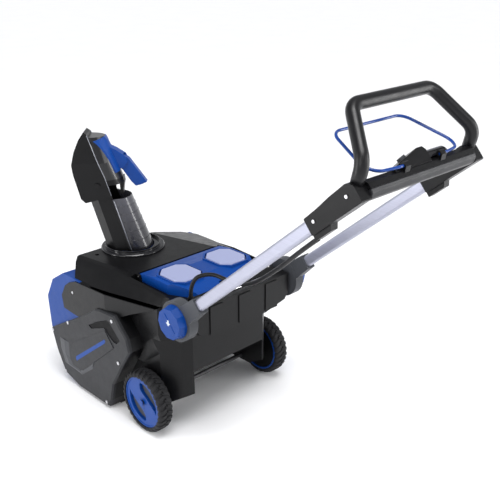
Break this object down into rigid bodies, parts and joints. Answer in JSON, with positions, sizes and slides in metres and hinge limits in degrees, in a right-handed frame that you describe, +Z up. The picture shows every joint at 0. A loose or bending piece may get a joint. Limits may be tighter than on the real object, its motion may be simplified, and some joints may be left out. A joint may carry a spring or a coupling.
{
  "type": "snow blower",
  "caption": "Cordless single-stage snow blower: auger housing, turning discharge chute, two wheels and a folding loop handle with a bail lever",
  "frame": {"origin": "on the ground, under the middle of the overall box", "axes": "+Z up, +Y towards the operator at the handle, +X to the operator's left"},
  "size_m": [0.496, 1.118, 0.9614],
  "materials": {
    "body_plastic": "textured",
    "cover_plastic": "textured",
    "blue_plastic": "satin",
    "hub_plastic": "satin",
    "grey_plastic": "satin",
    "window_plastic": "frosted",
    "smoky_plastic": "clear smoky",
    "gloss_black": "glossy",
    "tube_metal": "satin",
    "steel": "bright zinc",
    "bail_paint": "gloss",
    "tyre_rubber": "matt",
    "auger_rubber": "matt",
    "foam": "fine foam",
    "cable_rubber": "smooth",
    "pulley_metal": "machined",
    "belt_rubber": "ribbed",
    "motor_can": "satin",
    "battery_case": "satin",
    "board": "satin",
    "scraper_plastic": "worn"
  },
  "bodies": {
    "chassis": {"auger_shell": "blue_plastic", "scraper_bar": "scraper_plastic", "auger_bearings": "steel", "drive_belt": "belt_rubber", "motor": "motor_can", "lower_body": "body_plastic", "hood": "body_plastic", "lid_hinge_pin": "steel", "battery_bay": "body_plastic", "left_battery": "battery_case", "right_battery": "battery_case", "controller_board": "board", "left_side_cover": "cover_plastic", "right_side_cover": "cover_plastic", "cover_screws": "steel", "wheel_axle": "steel", "axle_retainers": "hub_plastic", "pivot_pins": "steel", "rear_rail": "steel"},
    "auger": {"auger_shaft": "steel", "auger_flights": "auger_rubber", "auger_paddles": "auger_rubber", "auger_pulley": "pulley_metal"},
    "motor_rotor": {"motor_shaft": "steel", "motor_pulley": "pulley_metal"},
    "idler": {"idler_pulley": "pulley_metal"},
    "left_wheel": {"left_tyre": "tyre_rubber", "left_hub": "hub_plastic"},
    "right_wheel": {"right_tyre": "tyre_rubber", "right_hub": "hub_plastic"},
    "lid": {"battery_lid": "blue_plastic", "lid_windows": "window_plastic"},
    "latch": {"lid_latch": "body_plastic"},
    "chute": {"chute_ring": "gloss_black", "chute_channel": "body_plastic", "chute_window": "smoky_plastic", "tilt_pins": "steel"},
    "deflector_head": {"deflector": "body_plastic", "deflector_back": "smoky_plastic", "deflector_grip": "blue_plastic", "trigger_pin": "steel"},
    "trigger": {"deflector_trigger": "blue_plastic"},
    "handle": {"left_elbow": "grey_plastic", "right_elbow": "grey_plastic", "left_tube": "tube_metal", "right_tube": "tube_metal", "left_upper_bracket": "body_plastic", "right_upper_bracket": "body_plastic", "loop_core": "steel", "foam_grip": "foam", "bracket_screws": "steel", "crossbar_upper": "body_plastic", "crossbar_lower": "grey_plastic", "lamp_cover": "gloss_black", "bail_switch": "body_plastic", "control_cable": "cable_rubber"},
    "left_button": {"left_pivot_button": "blue_plastic"},
    "right_button": {"right_pivot_button": "blue_plastic"},
    "bail": {"bail_lever": "bail_paint"},
    "start_button": {"safety_button": "grey_plastic"}
  },
  "joints": [
    {"name": "auger_spin", "type": "hinge", "parent": "chassis", "child": "auger", "pos_m": [0, -0.372, 0.15], "axis": [1, 0, 0], "continuous": true},
    {"name": "motor_spin", "type": "hinge", "parent": "chassis", "child": "motor_rotor", "pos_m": [0.226, -0.195, 0.25], "axis": [1, 0, 0], "continuous": true},
    {"name": "idler_spin", "type": "hinge", "parent": "chassis", "child": "idler", "pos_m": [0.224, -0.24443, 0.157], "axis": [1, 0, 0], "continuous": true},
    {"name": "left_wheel_spin", "type": "hinge", "parent": "chassis", "child": "left_wheel", "pos_m": [0.2175, -0.107, 0.087], "axis": [1, 0, 0], "continuous": true},
    {"name": "right_wheel_spin", "type": "hinge", "parent": "chassis", "child": "right_wheel", "pos_m": [-0.2175, -0.107, 0.087], "axis": [1, 0, 0], "continuous": true},
    {"name": "lid_hinge", "type": "hinge", "parent": "chassis", "child": "lid", "pos_m": [0, -0.211, 0.393], "axis": [1, 0, 0], "range_deg": [0, 88]},
    {"name": "latch_slide", "type": "slide", "parent": "lid", "child": "latch", "axis": [0, -1, 0], "range_m": [0, 0.0035], "stiffness_N_per_m": 900, "springref_m": -0.001},
    {"name": "chute_rotate", "type": "hinge", "parent": "chassis", "child": "chute", "pos_m": [0.034, -0.391, 0.3983], "axis": [0, 0, 1], "range_deg": [-137, 43]},
    {"name": "deflector_tilt", "type": "hinge", "parent": "chute", "child": "deflector_head", "pos_m": [0.09251, -0.44556, 0.598], "axis": [0.682, 0.7314, 0], "range_deg": [0, 30]},
    {"name": "trigger_squeeze", "type": "hinge", "parent": "deflector_head", "child": "trigger", "pos_m": [0.0457, -0.40191, 0.654], "axis": [-0.682, -0.7314, 0], "range_deg": [0, 12], "stiffness_Nm_per_rad": 0.6, "springref_deg": -17.19},
    {"name": "handle_fold", "type": "hinge", "parent": "chassis", "child": "handle", "pos_m": [0, 0.0104, 0.36], "axis": [1, 0, 0], "range_deg": [-10, 90], "deforming": ["control_cable"]},
    {"name": "left_button_press", "type": "slide", "parent": "handle", "child": "left_button", "axis": [-1, 0, 0], "range_m": [0, 0.006], "stiffness_N_per_m": 1200, "springref_m": -0.002},
    {"name": "right_button_press", "type": "slide", "parent": "handle", "child": "right_button", "axis": [1, 0, 0], "range_m": [0, 0.006], "stiffness_N_per_m": 1200, "springref_m": -0.002},
    {"name": "bail_swing", "type": "hinge", "parent": "handle", "child": "bail", "pos_m": [0, 0.54573, 0.83576], "axis": [-1, 0, 0], "range_deg": [0, 26], "stiffness_Nm_per_rad": 1.2, "springref_deg": -28.65},
    {"name": "start_button_press", "type": "slide", "parent": "handle", "child": "start_button", "axis": [-0.26, 0.6246, -0.7364], "range_m": [0, 0.004], "stiffness_N_per_m": 800, "springref_m": -0.001}
  ],
  "couplings": [
    {"joint": "motor_spin", "follows": "auger_spin", "ratio": 4},
    {"joint": "idler_spin", "follows": "auger_spin", "ratio": -4.2857}
  ]
}
